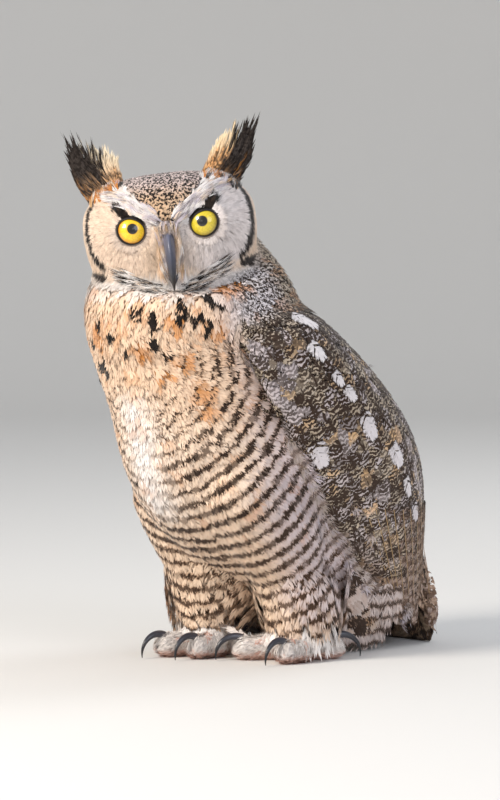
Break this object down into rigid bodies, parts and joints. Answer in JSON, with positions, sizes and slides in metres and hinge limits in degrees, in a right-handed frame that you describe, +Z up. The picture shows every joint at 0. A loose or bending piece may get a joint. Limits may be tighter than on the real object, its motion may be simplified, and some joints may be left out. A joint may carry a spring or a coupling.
{
  "type": "great horned owl",
  "caption": "Still life-size great horned owl, standing upright with folded wings, its head turned to its left and its tail tip on the floor.",
  "frame": {"origin": "centre of the bird's footprint box, on the floor that its toes and tail tip rest on", "axes": "+Z up; the breast faces -Y and the back +Y; +X is the bird's own left side"},
  "size_m": [0.2428, 0.3501, 0.45],
  "materials": {
    "breast_feathers": "soft matt feathers, barred brown on buff",
    "back_feathers": "matt feathers, mottled dark brown, grey and buff",
    "face_feathers": "fine matt bristle feathers, cream with a black rim",
    "tuft_feathers": "matt feathers, black-brown with an orange-buff edge",
    "leg_feathers": "short dense down, cream",
    "horn": "smooth dark horn, satin",
    "eye": "wet yellow eye with a black pupil"
  },
  "bodies": {
    "root": {"head": "face_feathers", "eye_left": "eye", "eye_right": "eye", "bill_upper": "horn", "bill_lower": "horn", "ear_tuft_left": "tuft_feathers", "ear_tuft_right": "tuft_feathers", "neck": "breast_feathers", "trunk": "breast_feathers", "wing_left": "back_feathers", "wing_right": "back_feathers", "tail": "back_feathers", "leg_left": "leg_feathers", "leg_right": "leg_feathers", "shank_left": "leg_feathers", "shank_right": "leg_feathers", "toe_left_1": "leg_feathers", "toe_left_2": "leg_feathers", "toe_left_3": "leg_feathers", "toe_left_4": "leg_feathers", "toe_right_1": "leg_feathers", "toe_right_2": "leg_feathers", "toe_right_3": "leg_feathers", "toe_right_4": "leg_feathers", "claw_left_1": "horn", "claw_left_2": "horn", "claw_left_3": "horn", "claw_left_4": "horn", "claw_right_1": "horn", "claw_right_2": "horn", "claw_right_3": "horn", "claw_right_4": "horn"}
  },
  "joints": []
}
